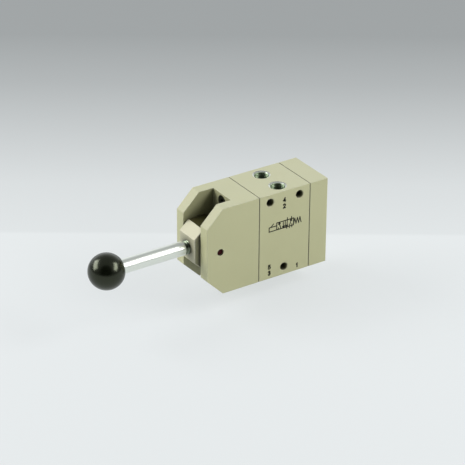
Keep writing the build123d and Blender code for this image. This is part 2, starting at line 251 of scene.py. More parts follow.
OWN_CREVICE = make_crevice("own_crevice", True)
SHARED_CREVICE = make_crevice("shared_crevice", False)
print("crevice groups made:", OWN_CREVICE.name, SHARED_CREVICE.name)

# %% [markdown]
# Faces that look up are given a painted sheen: their colour is made paler and cooler, as the
# sheen of the bright surround shows on them. The true normal's height says how much a face looks
# up, and a slow noise keeps it uneven.

# %% Painted top sheen
TOP_SHEEN_SLOPE = 0.75
TOP_SHEEN_PATCHES = 45.0
PATCH_LIFT = 0.5


def make_top_sheen():
    """A mask from 0 on steep faces to the strength on level ones, times a noise of mean 1."""
    group, given, result = new_group(
        "painted_top_sheen",
        [("Strength", 0.1)],
        [("Mask", "NodeSocketFloat")],
    )
    nodes, links = group.nodes, group.links
    geometry = nodes.new("ShaderNodeNewGeometry")
    parts = nodes.new("ShaderNodeSeparateXYZ")
    links.new(geometry.outputs["True Normal"], parts.inputs[0])
    up = nodes.new("ShaderNodeMapRange")
    up.inputs["From Min"].default_value = TOP_SHEEN_SLOPE
    links.new(parts.outputs["Z"], up.inputs["Value"])
    place = nodes.new("ShaderNodeTexCoord").outputs["Object"]
    patches = noise(nodes, links, place, TOP_SHEEN_PATCHES, detail=3.0)
    patches = math_node(nodes, links, "ADD", patches, PATCH_LIFT)
    amount = math_node(nodes, links, "MULTIPLY", up.outputs["Result"], given.outputs["Strength"])
    mask = math_node(nodes, links, "MULTIPLY", amount, patches, clamp=True)
    links.new(mask, result.inputs["Mask"])
    return group


TOP_SHEEN = make_top_sheen()
print("shared groups:", [group.name for group in bpy.data.node_groups])

# %% [markdown]
# ## Finishes
# Every finish is one Principled shader. What differs is its base colour, how rough and how
# metallic it is, and how strongly the shared effects reach it, so one function takes those
# as plain values and wires the same small tree each time.


# %% Recipe helpers
def place_group(nodes, group, values):
    """Put a shared group into a material with its named inputs set; its outputs come back."""
    node = nodes.new("ShaderNodeGroup")
    node.node_tree = group
    for label, value in values.items():
        node.inputs[label].default_value = value
    return node.outputs


def mix_colour(nodes, links, mask, below, above):
    """One colour laid over another by a mask; each is a socket to link or a plain colour."""
    node = nodes.new("ShaderNodeMix")
    node.data_type = "RGBA"
    links.new(mask, node.inputs["Factor"])
    for label, colour in (("A", below), ("B", above)):
        if isinstance(colour, tuple):
            node.inputs[label].default_value = colour
        else:
            links.new(colour, node.inputs[label])
    return node.outputs["Result"]


# %% One recipe for all finishes
WHITE = (1.0, 1.0, 1.0, 1.0)


def finish(
    name,
    base,
    worn,
    roughness,
    metallic=0.0,
    cloud=0.06,
    rough_spread=0.08,
    tooth=0.0,
    tooth_scale=5200.0,
    lay=None,
    lay_depth=0.0,
    edge_radius=0.4,
    edge_gain=6.0,
    specular=0.5,
    specular_tint=WHITE,
    top_sheen=None,
    top_sheen_strength=0.12,
    crevice_shade=None,
    crevice_shade_reach=9.0,
    crevice_shade_start=0.55,
    crevice_shade_strength=1.0,
    crevice_shade_group=OWN_CREVICE,
):
    """A material: base colour clouded by slow noise, worn on edges, with a painted sheen on upward faces
    and painted shade in crevices.
    """
    material = bpy.data.materials.new(name)
    material.use_nodes = True
    nodes, links = material.node_tree.nodes, material.node_tree.links
    shader = nodes["Principled BSDF"]
    shader.inputs["Metallic"].default_value = metallic
    shader.inputs["Specular IOR Level"].default_value = specular
    shader.inputs["Specular Tint"].default_value = specular_tint

    wear = place_group(nodes, EDGE_WEAR, {"Radius": edge_radius * MM, "Gain": edge_gain})
    grain = place_group(nodes, GRAIN, {"Tooth Scale": tooth_scale})
    darker, lighter = ((*(c * (1 + share) for c in base[:3]), 1.0) for share in (-cloud, cloud))
    colour = mix_colour(nodes, links, grain["Cloud"], darker, lighter)
    colour = mix_colour(nodes, links, wear["Mask"], colour, worn)
    # Painted sheen: faces that look up are made paler and cooler
    if top_sheen is not None:
        sheen_amount = place_group(nodes, TOP_SHEEN, {"Strength": top_sheen_strength})
        colour = mix_colour(nodes, links, sheen_amount["Mask"], colour, top_sheen)
    # Painted shade: occlusion darkens the colour in holes and crevices, where shade falls
    if crevice_shade is not None:
        amounts = {"Reach": crevice_shade_reach * MM, "Start": crevice_shade_start, "Strength": crevice_shade_strength}
        crevice = place_group(nodes, crevice_shade_group, amounts)
        colour = mix_colour(nodes, links, crevice["Mask"], colour, crevice_shade)
    links.new(colour, shader.inputs["Base Color"])

    # Where there is a lay, its scratches replace the tooth and vary the roughness
    height, depth, vary = grain["Tooth"], tooth, grain["Cloud"]
    if lay is not None:
        stretches = {f"Along {axis}": value for axis, value in zip("XYZ", lay)}
        height = vary = place_group(nodes, LAY, stretches)["Scratch"]
        depth = lay_depth
    spread = nodes.new("ShaderNodeMapRange")
    spread.inputs["To Min"].default_value = roughness - rough_spread
    spread.inputs["To Max"].default_value = roughness + rough_spread
    links.new(vary, spread.inputs["Value"])
    links.new(spread.outputs["Result"], shader.inputs["Roughness"])
    bump = nodes.new("ShaderNodeBump")
    bump.inputs["Distance"].default_value = depth * MM
    links.new(height, bump.inputs["Height"])
    links.new(wear["Normal"], bump.inputs["Normal"])
    links.new(bump.outputs["Normal"], shader.inputs["Normal"])
    return material


# %% [markdown]
# ## The block's finish
# The three body parts are blasted, milled and anodised in a warm grey-green beige. Anodising
# is a glassy skin that hides most of the metal, so the shader isn't metallic. The lay of the
# milling runs up and down the faces. The sheets in the joints are dark and dull.

# %% Block finishes
anodised = finish(
    "beige_anodised_aluminium",
    swatch(184, 183, 142),
    swatch(220, 219, 194),
    roughness=0.46,
    cloud=0.035,
    lay=(1300.0, 1300.0, 30.0),
    lay_depth=0.008,
    edge_radius=0.35,
    edge_gain=5.0,
    specular=0.6,
    # Painted sheen on the faces that look up
    top_sheen=swatch(195, 203, 206),
    # Painted shade: the slot and the holes are darkened where shade falls
    crevice_shade=swatch(14, 18, 6),
    crevice_shade_reach=24.0,
    crevice_shade_start=0.92,
)
joint_sheet = finish("dark_joint_sheet", swatch(48, 47, 34), swatch(72, 70, 54), 0.7, tooth=0.01)
print("block finishes:", anodised.name, joint_sheet.name)

# %% [markdown]
# ## The lever's finishes
# The lever block is bare milled metal, pale on its nose. Its other faces wear a darker copy of
# the same finish, painted shade for the slot it sits in. The rod is polished chrome: the marks of
# polishing run round it, and they change only how rough it is, because a bump would break up the
# long reflections. The knob is polished black thermoset, which reflects a little warm. The pin's
# end has a dull dark red marking lacquer.

# %% Lever finishes
milled = finish(
    "milled_satin_aluminium",
    swatch(186, 183, 155),
    swatch(250, 247, 230),
    roughness=0.45,
    metallic=0.15,
    lay=(3500.0, 90.0, 3500.0),
    lay_depth=0.004,
    edge_radius=0.55,
    # Painted shade: the nose face is darkened round the rod's thread and beside the ears
    crevice_shade=swatch(30, 32, 14),
    crevice_shade_reach=6.0,
    crevice_shade_start=0.95,
    crevice_shade_strength=1.5,
    crevice_shade_group=SHARED_CREVICE,
)
# A darker copy of the milled finish: painted shade for the block's faces in the slot, with more painted
# shade from occlusion
shaded_milled = finish(
    "shaded_milled_aluminium",
    swatch(72, 69, 33),
    swatch(132, 128, 92),
    roughness=0.5,
    metallic=0.25,
    lay=(3500.0, 90.0, 3500.0),
    lay_depth=0.006,
    edge_radius=0.25,
    edge_gain=2.0,
    specular=0.3,
    crevice_shade=swatch(14, 14, 6),
    crevice_shade_reach=14.0,
    crevice_shade_start=0.95,
    crevice_shade_group=SHARED_CREVICE,
)
chromed = finish(
    "polished_chrome",
    swatch(232, 236, 228),
    swatch(244, 246, 240),
    roughness=0.35,
    metallic=1.0,
    cloud=0.02,
    rough_spread=0.03,
    lay=(500.0, 20.0, 20.0),
    edge_radius=0.15,
    edge_gain=1.0,
)
thread_steel = finish(
    "dark_thread_steel",
    swatch(110, 118, 102),
    swatch(190, 196, 178),
    roughness=0.24,
    metallic=1.0,
    edge_radius=0.1,
)
knob_black = finish(
    "black_polished_plastic",
    swatch(6, 9, 3),
    swatch(14, 16, 10),
    roughness=0.215,
    cloud=0.1,
    rough_spread=0.04,
    tooth=0.0002,
    tooth_scale=900.0,
    specular=0.55,
    specular_tint=(0.92, 1.0, 0.72, 1.0),
)
pin_steel = finish(
    "dull_pin_end",
    swatch(50, 6, 11),
    swatch(70, 22, 24),
    roughness=0.55,
    tooth=0.006,
    edge_radius=0.12,
    specular=0.1,
)
print("lever finishes:", milled.name, shaded_milled.name, chromed.name, knob_black.name)

# %% [markdown]
# ## Screws, threads and the pieces inside
# The screws are zinc plated; where they sit in the slot they wear a darker copy of that finish,
# painted shade for their holes. A port's mouth is cut after anodising, so its rim shines; its
# thread is the same bare metal in a darker copy, painted shade for the inside of the port. The
# pieces inside are seen only when the valve is opened, and each gets the plain finish of its
# own stuff.

# %% Screw, thread and inner finishes
steel = finish(
    "zinc_plated_steel",
    swatch(168, 166, 158),
    swatch(206, 205, 200),
    roughness=0.33,
    metallic=0.95,
    tooth=0.003,
    edge_radius=0.12,
)
# A darker copy of the zinc finish: painted shade for the screws down in the slot's holes
shaded_steel = finish(
    "shaded_zinc_steel",
    swatch(58, 60, 48),
    swatch(110, 110, 98),
    roughness=0.4,
    metallic=0.8,
    tooth=0.003,
    edge_radius=0.12,
)
rim_metal = finish(
    "bare_cut_aluminium",
    swatch(222, 228, 216),
    swatch(240, 242, 234),
    roughness=0.28,
    metallic=0.9,
    edge_radius=0.1,
)
# A darker copy of the cut rim's metal: painted shade inside the ports, with more painted shade from
# occlusion
port_thread_shaded_metal = finish(
    "shaded_thread_aluminium",
    swatch(126, 142, 114),
    swatch(172, 186, 160),
    roughness=0.36,
    metallic=0.7,
    edge_radius=0.1,
    crevice_shade=swatch(18, 28, 14),
    crevice_shade_reach=7.0,
    crevice_shade_start=0.78,
    crevice_shade_group=SHARED_CREVICE,
)
rubber = finish("nitrile_rubber", swatch(24, 24, 22), swatch(40, 40, 38), 0.75, tooth=0.01)
spring_steel = finish("drawn_spring_wire", swatch(150, 150, 146), swatch(190, 190, 186), 0.3, metallic=1.0)
brass = finish("turned_brass", swatch(196, 160, 92), swatch(226, 200, 140), 0.3, metallic=1.0)
acetal = finish("moulded_acetal", swatch(222, 218, 204), swatch(236, 233, 222), 0.5, tooth=0.006)
spool_metal = finish("ground_aluminium", swatch(206, 207, 207), swatch(230, 230, 230), 0.22, metallic=1.0)
ink = finish("dark_printed_ink", swatch(16, 18, 8), swatch(16, 18, 8), 0.6, tooth=0.004, specular=0.3)
print("finishes in all:", len(bpy.data.materials))

# %% [markdown]
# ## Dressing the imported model
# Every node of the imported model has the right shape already, so it only changes its material.

# %% Dress the nodes
NODE_FINISH = {
    "valve_body": anodised,
    "lever_housing": anodised,
    "end_cap": anodised,
    "seal_plate": joint_sheet,
    "cap_gasket": joint_sheet,
    "pivot_pin": pin_steel,
    "pivot_washers": steel,
    "lever_block": milled,
    "lever_rod": chromed,
    "ball_knob": knob_black,
    "knob_insert": brass,
    "plunger": steel,
    "bridge_plate": steel,
    "plunger_bush": brass,
    "plunger_wiper": rubber,
    "front_spool": spool_metal,
    "back_spool": spool_metal,
    "front_spool_seals": rubber,
    "back_spool_seals": rubber,
    "front_spool_cages": acetal,
    "back_spool_cages": acetal,
    "front_spring_seat": acetal,
    "back_spring_seat": acetal,
    "front_return_spring": spring_steel,
    "back_return_spring": spring_steel,
    "housing_screws": shaded_steel,
    "cap_screws": steel,
}
for node_name, node_object in frame["nodes"].items():
    node_object.data.materials.clear()
    node_object.data.materials.append(NODE_FINISH[node_name])
print("nodes dressed:", len(frame["nodes"]))

# %% [markdown]
# All of the lever block but its bevelled nose wears the darker copy of its finish, painted shade
# for the slot. Two materials on one mesh do this without touching its shape: each face names the
# one it wears.


# %% Second material helpers
def face_values(piece, kind):
    """One row for each face of a piece: its centre or its normal, whichever is asked for."""
    values = np.empty(len(piece.data.polygons) * 3)
    piece.data.polygons.foreach_get(kind, values)
    return values.reshape(-1, 3)


def second_material(piece, material, chosen):
    """Give another material to the faces that a mask picks out."""
    piece.data.materials.append(material)
    piece.data.polygons.foreach_set("material_index", chosen.astype(np.int32))


# %% Painted shade on the lever block
LOOKS_LEFT = -0.5
block = frame["nodes"]["lever_block"]
block_x = face_values(block, "center")[:, 0]
block_normal_x = face_values(block, "normal")[:, 0]
pin_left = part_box("pivot_pin")[0][0]
nose_end = block_x[(block_normal_x < LOOKS_LEFT) & (block_x < pin_left)].max()
shaded_faces = (block_x > nose_end) & (block_normal_x > LOOKS_LEFT)
second_material(block, shaded_milled, shaded_faces)
print("shaded faces on the lever block:", int(shaded_faces.sum()))

# %% [markdown]
# ## Surfaces from grids
# Each added piece is a grid of points worked out as whole arrays. A turned piece is a profile,
# distance along the axis against radius, carried once round the axis. A thread is the same
# with the radius made to ripple as the angle goes round, one ripple per turn.

# %% Grid helpers
WELD = 0.002 * MM
FLANK_SLOPE = 2.6
ROOT_FLAT = 0.15


def mesh_piece(name, points, faces, material, smooth=True):
    """An object at the origin from arrays of points and faces, welded and pointing outwards."""
    mesh = bpy.data.meshes.new(name)
    mesh.from_pydata(points.tolist(), [], faces.tolist())
    welded = bmesh.new()
    welded.from_mesh(mesh)
    bmesh.ops.remove_doubles(welded, verts=welded.verts, dist=WELD)
    bmesh.ops.recalc_face_normals(welded, faces=welded.faces)
    welded.to_mesh(mesh)
    welded.free()
    mesh.polygons.foreach_set("use_smooth", np.full(len(mesh.polygons), smooth))
    mesh.materials.append(material)
    piece = bpy.data.objects.new(name, mesh)
    bpy.context.scene.collection.objects.link(piece)
    return piece


def grid_faces(rows, columns, close_rows=False):
    """Quads of a grid that is always closed across its columns, and may be down its rows."""
    row_count = rows if close_rows else rows - 1
    row, column = np.meshgrid(np.arange(row_count), np.arange(columns), indexing="ij")
    next_row = (row + 1) % rows
    next_column = (column + 1) % columns
    corners = [row * columns + column, row * columns + next_column]
    corners += [next_row * columns + next_column, next_row * columns + column]
    return np.stack(corners, axis=-1).reshape(-1, 4)


def around(centre, axis, along, radius, angle):
    """Points at the given distance along the axis, radius and angle about it."""
    axis = Vector(axis).normalized()
    side = axis.orthogonal().normalized()
    other = axis.cross(side)
    spots = np.asarray(centre) + along[..., None] * np.asarray(axis)
    spots = spots + (radius * np.cos(angle))[..., None] * np.asarray(side)
    return (spots + (radius * np.sin(angle))[..., None] * np.asarray(other)).reshape(-1, 3)


def thread_wave(along, angle, pitch):
    """A thread's height from 0 at the root to 1 at the crest, with flats and sloping flanks."""
    phase = (along / pitch - angle / (2 * np.pi)) % 1.0
    return np.clip(FLANK_SLOPE * np.abs(phase - 0.5) - ROOT_FLAT, 0.0, 1.0)


# %% [markdown]
# ## The knob
# The real knob is pressed from black thermoset and polished, so its shape is a true ball with
# a small flat where it meets the rod. A ball that shines shows every facet, so it is rebuilt
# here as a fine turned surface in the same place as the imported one.

# %% Knob
AXIS_HEIGHT = float(mounts["back_face"]["pos_m"][2])
knob_low, knob_high = (np.array(corner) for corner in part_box("ball_knob"))
knob_radius = (knob_high[2] - knob_low[2]) / 2
knob_centre_x = knob_low[0] + knob_radius
KNOB_COLUMNS = 96
KNOB_ROWS = 64
KNOB_EDGE = 0.25 * MM


def make_knob():
    """A circle's arc from the far pole to the flat, then straight in to the axis, turned."""
    flat = knob_high[0] - knob_centre_x
    polar = np.linspace(0.0, np.pi - math.acos(flat / knob_radius), KNOB_ROWS)
    along = -knob_radius * np.cos(polar)
    radius = knob_radius * np.sin(polar)
    # The rim is softened by one short step before the flat
    along = np.concatenate([along[:-1], [flat - KNOB_EDGE / 3, flat, flat]])
    rim = radius[-1]
    radius = np.concatenate([radius[:-1], [rim - KNOB_EDGE / 3, rim - KNOB_EDGE, 0.0]])
    angle = np.linspace(0, 2 * np.pi, KNOB_COLUMNS, endpoint=False)
    along_grid, angle_grid = np.meshgrid(along, angle, indexing="ij")
    radius_grid = np.repeat(radius[:, None], KNOB_COLUMNS, axis=1)
    points = around((knob_centre_x, 0, AXIS_HEIGHT), (1, 0, 0), along_grid, radius_grid, angle_grid)
    return mesh_piece("knob_ball", points, grid_faces(len(along), KNOB_COLUMNS), knob_black)


knob = make_knob()
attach(knob, "lever")
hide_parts("ball_knob")
print("knob radius in mm:", round(knob_radius / MM, 3))

# %% [markdown]
# ## The rod and its thread
# The rod is a bright bar. Its end is threaded M8 and screws into the block, and about two
# turns of that thread stay in sight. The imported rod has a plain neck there. The visible rod is
# one turned surface whose neck carries the thread, so light catches each crest.

# %% Rod
rod_low, rod_high = (np.array(corner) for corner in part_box("lever_rod"))
rod_radius = (rod_high[2] - rod_low[2]) / 2
block_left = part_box("lever_block")[0][0]
ROD_COLUMNS = 72
ROD_EDGE = 0.5 * MM
ROD_START_RING = 0.05 * MM
CREASE_SHARE = 0.98
NECK_EXPOSED = 2.5 * MM
NECK_BURIED = 1.5 * MM
NECK_GAP = 0.02 * MM
M8_PITCH = 1.25 * MM
M8_ROOT = 3.35 * MM
M8_CREST = 3.92 * MM
STEPS_PER_TURN = 14


def make_rod():
    """The plain bar from the knob's flat to a chamfer, then the thread into the block."""
    start = knob_high[0]
    shoulder = block_left - NECK_EXPOSED
    neck_end = block_left + NECK_BURIED
    neck_steps = int(round((neck_end - shoulder) / M8_PITCH * STEPS_PER_TURN))
    neck = np.linspace(shoulder + NECK_GAP, neck_end, neck_steps)
    # A close ring beside each corner keeps the smooth shading crisp
    chamfer = [shoulder - ROD_EDGE, shoulder - ROD_EDGE * CREASE_SHARE, shoulder, shoulder]
    bar_along = np.array([start, start, start + ROD_START_RING, *chamfer])
    bar_radius = np.full(len(bar_along), rod_radius)
    bar_radius[[0, -2, -1]] = 0, rod_radius - ROD_EDGE, M8_ROOT
    along = np.concatenate([bar_along, neck, neck[-1:]])
    angle = np.linspace(0, 2 * np.pi, ROD_COLUMNS, endpoint=False)
    along_grid, angle_grid = np.meshgrid(along, angle, indexing="ij")
    wave = thread_wave(along_grid - shoulder, angle_grid, M8_PITCH)
    radius_grid = M8_ROOT + (M8_CREST - M8_ROOT) * wave
    radius_grid[: len(bar_along)] = bar_radius[:, None]
    radius_grid[-1] = 0.0
    points = around((0, 0, AXIS_HEIGHT), (1, 0, 0), along_grid, radius_grid, angle_grid)
    piece = mesh_piece("lever_rod_turned", points, grid_faces(len(along), ROD_COLUMNS), chromed)
    second_material(piece, thread_steel, face_values(piece, "center")[:, 0] > shoulder - NECK_GAP / 2)
    return piece


rod = make_rod()
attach(rod, "lever")
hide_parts("lever_rod")
print("rod faces:", len(rod.data.polygons))

# %% [markdown]
# ## Return springs
# A spring behind each spool pushes it back. A coil is a round wire carried along a helix, and
# its last half turn at each end lies flat, so that it sits square on the seat and on the
# pocket's floor. One end rests on the cap and the other on the spool.

# %% Springs
COIL_TURNS = 4.4
COIL_FLAT = 0.1
WIRE_RADIUS = 0.38 * MM
COIL_ROWS = 150
COIL_COLUMNS = 12


def make_coil(name, low, high):
    """Wire centre: a circle about X whose height rises evenly between two flat ends."""
    low, high = np.array(low), np.array(high)
    centre = (low + high) / 2
    coil_radius = (high[2] - low[2]) / 2 - WIRE_RADIUS
    share = np.linspace(0, 1, COIL_ROWS)
    rise = np.clip((share - COIL_FLAT) / (1 - 2 * COIL_FLAT), 0, 1)
    height = low[0] + WIRE_RADIUS + rise * (high[0] - low[0] - 2 * WIRE_RADIUS)
    turn = share * COIL_TURNS * 2 * np.pi
    # The first and last rows shrink to a point, which closes the wire's ends
    thickness = np.full(COIL_ROWS, WIRE_RADIUS)
    thickness[[0, -1]] = 0
    round_wire = np.linspace(0, 2 * np.pi, COIL_COLUMNS, endpoint=False)
    out = coil_radius + thickness[:, None] * np.cos(round_wire)
    along = height[:, None] + thickness[:, None] * np.sin(round_wire)
    y = centre[1] + out * np.cos(turn)[:, None]
    z = centre[2] + out * np.sin(turn)[:, None]
    points = np.stack([along, y, z], axis=-1).reshape(-1, 3)
    return mesh_piece(name, points, grid_faces(COIL_ROWS, COIL_COLUMNS), spring_steel)


for side in ("front", "back"):
    low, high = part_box(f"{side}_return_spring")
    coil = make_coil(f"{side}_coil", low, high)
    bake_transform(coil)
    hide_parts(f"{side}_return_spring")
print("coils wound with", COIL_TURNS, "turns")

# %% [markdown]
# ## Threads in the ports
# Each port is tapped G1/8: 28 turns to the inch on a 9.7 mm thread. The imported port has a
# plain wall, so a sleeve of thread lies against it. The sleeve is a closed ring: its outer
# skin sits on the wall and its inner skin carries the ripple. A cone at its mouth is the
# countersink that starts the fitting, cut last and left bright.

# %% Port threads
G18_PITCH = 0.907 * MM
THREAD_DEPTH = 0.35 * MM
THREAD_COLUMNS = 56
THREAD_STEPS = 8
RIM_WIDTH = 0.65 * MM
SLEEVE_SKIN = 0.03 * MM
SLEEVE_SHORT = 0.3 * MM
BODY_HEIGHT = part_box("valve_body")[1][2]


def make_port_thread(name, mount):
    """A ring closed both ways: the rim's cone, the rippled inner skin and the plain outer skin."""
    x, y, _ = mount["pos_m"]
    up = mount["axis"][2] > 0
    wall = mount["dims"]["r_mm"] * MM
    length = mount["dims"]["length_mm"] * MM - SLEEVE_SHORT
    rows = int(round(length / G18_PITCH * THREAD_STEPS))
    cone = np.array([-RIM_WIDTH, 0.0])
    along = np.concatenate([cone, np.linspace(0, length, rows), [length, 0.0, -RIM_WIDTH]])
    angle = np.linspace(0, 2 * np.pi, THREAD_COLUMNS, endpoint=False)
    along_grid, angle_grid = np.meshgrid(along, angle, indexing="ij")
    radius_grid = wall - THREAD_DEPTH * thread_wave(along_grid, angle_grid, G18_PITCH)
    radius_grid = np.minimum(radius_grid, wall - SLEEVE_SKIN)
    radius_grid[:2] = wall - SLEEVE_SKIN - cone[:, None]
    radius_grid[-3:] = wall + SLEEVE_SKIN / 2 + np.array([0.0, 0.0, RIM_WIDTH])[:, None]
    mouth = BODY_HEIGHT - RIM_WIDTH if up else RIM_WIDTH
    inward = (0, 0, -1) if up else (0, 0, 1)
    points = around((x, y, mouth), inward, along_grid, radius_grid, angle_grid)
    faces = grid_faces(len(along), THREAD_COLUMNS, close_rows=True)
    piece = mesh_piece(name, points, faces, port_thread_shaded_metal)
    heights = face_values(piece, "center")[:, 2]
    second_material(piece, rim_metal, heights > mouth if up else heights < mouth)
    return piece


for port_name in ("port_1", "port_2", "port_3", "port_4", "port_5"):
    thread = make_port_thread(f"{port_name}_thread", mounts[port_name])
    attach(thread, "valve")
port_length = mounts["port_5"]["dims"]["length_mm"] * MM
print("turns of thread in the last port:", round(port_length / G18_PITCH, 1))

# %% [markdown]
# ## Printed marks
# The front face carries the port numbers and the standard symbol for a 5/2 valve with a lever
# on one side and a spring on the other. They are pad printed: a film of ink that stands a
# hundredth of a millimetre proud. A font would bring outlines with hundreds of points, so
# numbers and symbol are drawn with short ribbons, the way a plotter pen would draw them.

# %% Ink helper
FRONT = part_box("valve_body")[0][1]
INK_PROUD = 0.015 * MM
INK_SUNK = 0.01 * MM


def ribbon_blocks(strokes, width):
    """One flat block per stroke between two points: eight corners and six faces each."""
    strokes = np.asarray(strokes, dtype=float)
    start, stop = strokes[:, 0], strokes[:, 1]
    ahead = stop - start
    ahead = ahead / np.linalg.norm(ahead, axis=1, keepdims=True) * width / 2
    side = np.stack([-ahead[:, 1], ahead[:, 0]], axis=1)
    start, stop = start - ahead, stop + ahead
    flat = np.stack([start - side, stop - side, stop + side, start + side], axis=1)
    levels = (FRONT - INK_PROUD, FRONT + INK_SUNK)
    layers = [np.stack([flat[..., 0], np.full(flat.shape[:2], y), flat[..., 1]], axis=-1) for y in levels]
    points = np.concatenate(layers, axis=1).reshape(-1, 3)
    block = np.array([[0, 1, 2, 3], [7, 6, 5, 4], [0, 4, 5, 1], [1, 5, 6, 2], [2, 6, 7, 3], [3, 7, 4, 0]])
    faces = (block[None] + 8 * np.arange(len(strokes))[:, None, None]).reshape(-1, 4)
    return points, faces


def print_mark(name, strokes, width):
    """Print strokes on the front face as one piece of ink that rides on the valve."""
    points, faces = ribbon_blocks(strokes, width)
    mark = mesh_piece(name, points, faces, ink, smooth=False)
    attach(mark, "valve")


# %% [markdown]
# The numbers stand where a fitter looks for them: 4 and 2 under the outlets, 5 and 3 over the
# exhausts, 1 over the supply. Each digit is one pen path in a box one unit high.

# %% Port numbers
DIGIT_HEIGHT = 2.9 * MM
DIGIT_LINE = 0.72 * MM
LINE_STEP = 3.75 * MM
TOP_LINE = 5.4 * MM
BOTTOM_LINE = 3.4 * MM
OUTLET_SHIFT = -0.3 * MM
EXHAUST_SHIFT = 0.15 * MM
SUPPLY_DROP = 0.3 * MM
OUTLET_X = mounts["port_2"]["pos_m"][0] + OUTLET_SHIFT
EXHAUST_X = mounts["port_3"]["pos_m"][0] + EXHAUST_SHIFT
SUPPLY_X = mounts["port_1"]["pos_m"][0]
ARC_STEP = math.radians(22)


def arc(x, z, radius, start, stop):
    """Points on a circle between two angles given in degrees."""
    start, stop = math.radians(start), math.radians(stop)
    count = max(2, int(abs(stop - start) / ARC_STEP) + 1)
    angles = np.linspace(start, stop, count)
    return [(x + radius * math.cos(t), z + radius * math.sin(t)) for t in angles]


DIGIT_PATHS = {
    "1": [(-0.16, 0.30), (0.04, 0.5), (0.04, -0.5)],
    "2": arc(0.0, 0.24, 0.26, 165, -40) + [(-0.27, -0.5), (0.28, -0.5)],
    "3": arc(-0.02, 0.27, 0.23, 150, -90) + arc(-0.02, -0.23, 0.27, 90, -150),
    "4": [(0.14, -0.5), (0.14, 0.5), (-0.3, -0.2), (0.3, -0.2)],
    "5": [(0.22, 0.5), (-0.18, 0.5), (-0.21, 0.06)] + arc(-0.02, -0.19, 0.3, 125, -145),
}
number_places = {
    "4": (OUTLET_X, BODY_HEIGHT - TOP_LINE),
    "2": (OUTLET_X, BODY_HEIGHT - TOP_LINE - LINE_STEP),
    "5": (EXHAUST_X, BOTTOM_LINE + LINE_STEP),
    "3": (EXHAUST_X, BOTTOM_LINE),
    "1": (SUPPLY_X, BOTTOM_LINE - SUPPLY_DROP),
}
for digit, spot in number_places.items():
    pen = np.array(DIGIT_PATHS[digit]) * (DIGIT_HEIGHT - DIGIT_LINE) + spot
    print_mark(f"mark_{digit}", list(zip(pen[:-1], pen[1:])), DIGIT_LINE)
print("numbers printed:", len(number_places))

# %% [markdown]
# The symbol is the standard one for this kind of valve: a square for each position of the
# spools with the ways that the air takes in it, a lever box on the left and a zigzag spring on
# the right. It is laid out on quarters of a square.

# %% Valve symbol
SYMBOL_BASE = 28.7 * MM
SYMBOL_HEIGHT = 4.2 * MM
SYMBOL_CENTRE = 0.4 * MM
BOX_WIDTH = 5.5 * MM
QUARTER = BOX_WIDTH / 4
LINE_WIDTH = 0.58 * MM
HEAD_LENGTH = SYMBOL_HEIGHT * 0.28
HEAD_ANGLE = math.radians(28)
TEE = SYMBOL_HEIGHT * 0.22
PORT_LINE = TEE * 1.3
END_WIDTH = BOX_WIDTH * 0.9
LEVER_BOX_HEIGHT = SYMBOL_HEIGHT * 0.6
HANDLE_SHARES = (0.2, 0.5)
SPRING_CORNERS = 7
SPRING_SHARES = (0.12, 0.88)


def box_strokes(left, bottom, width, height):
    """The four sides of a rectangle."""
    right, top = left + width, bottom + height
    corners = [(left, bottom), (right, bottom), (right, top), (left, top)]
    return [(corners[i], corners[(i + 1) % 4]) for i in range(4)]


def arrow_strokes(start, stop):
    """A line with a two-stroke head at its end."""
    start, stop = np.array(start), np.array(stop)
    back = (start - stop) / np.linalg.norm(stop - start) * HEAD_LENGTH
    strokes = [(start, stop)]
    for turn in (HEAD_ANGLE, -HEAD_ANGLE):
        swing = np.array([[math.cos(turn), -math.sin(turn)], [math.sin(turn), math.cos(turn)]])
        strokes.append((stop, stop + swing @ back))
    return strokes


def upright(x, foot, length):
    """One upright line, drawn down where the length is negative."""
    return ((x, foot), (x, foot + length))


def symbol_strokes():
    """Two squares with their flow paths, a lever box on the left and a spring on the right."""
    base, top = SYMBOL_BASE, SYMBOL_BASE + SYMBOL_HEIGHT
    left, right = SYMBOL_CENTRE - BOX_WIDTH, SYMBOL_CENTRE
    strokes = box_strokes(left, base, BOX_WIDTH, SYMBOL_HEIGHT)
    strokes += box_strokes(right, base, BOX_WIDTH, SYMBOL_HEIGHT)
    # Crossed paths in the left square, straight ones in the right square
    strokes += arrow_strokes((left + QUARTER * 2, base), (left + QUARTER, top))
    strokes += arrow_strokes((left + QUARTER * 3, top), (left + QUARTER * 3.2, base))
    strokes += [upright(left + QUARTER * 0.8, base, TEE)]
    strokes += arrow_strokes((right + QUARTER * 2, base), (right + QUARTER * 3, top))
    strokes += arrow_strokes((right + QUARTER, top), (right + QUARTER * 0.8, base))
    strokes += [upright(right + QUARTER * 3.2, base, TEE)]
    # Ports drawn as short lines above and below the right square
    strokes += [upright(right + QUARTER * share, top, PORT_LINE) for share in (1, 3)]
    strokes += [upright(right + QUARTER * share, base, -TEE) for share in (0.8, 2, 3.2)]
    # Lever box and its handle
    lever_left = left - END_WIDTH
    strokes += box_strokes(lever_left, base, END_WIDTH, LEVER_BOX_HEIGHT)
    handle_foot = (lever_left + BOX_WIDTH * HANDLE_SHARES[0], base + LEVER_BOX_HEIGHT)
    strokes.append((handle_foot, (lever_left + BOX_WIDTH * HANDLE_SHARES[1], top)))
    # Spring as a zigzag
    corner = np.arange(SPRING_CORNERS)
    zig_x = right + BOX_WIDTH + corner * END_WIDTH / (SPRING_CORNERS - 1)
    zig_z = base + SYMBOL_HEIGHT * np.where(corner % 2 == 0, *SPRING_SHARES)
    zig = np.stack([zig_x, zig_z], axis=1)
    return strokes + list(zip(zig[:-1], zig[1:]))


print_mark("mark_symbol", symbol_strokes(), LINE_WIDTH)
print("symbol strokes:", len(symbol_strokes()))

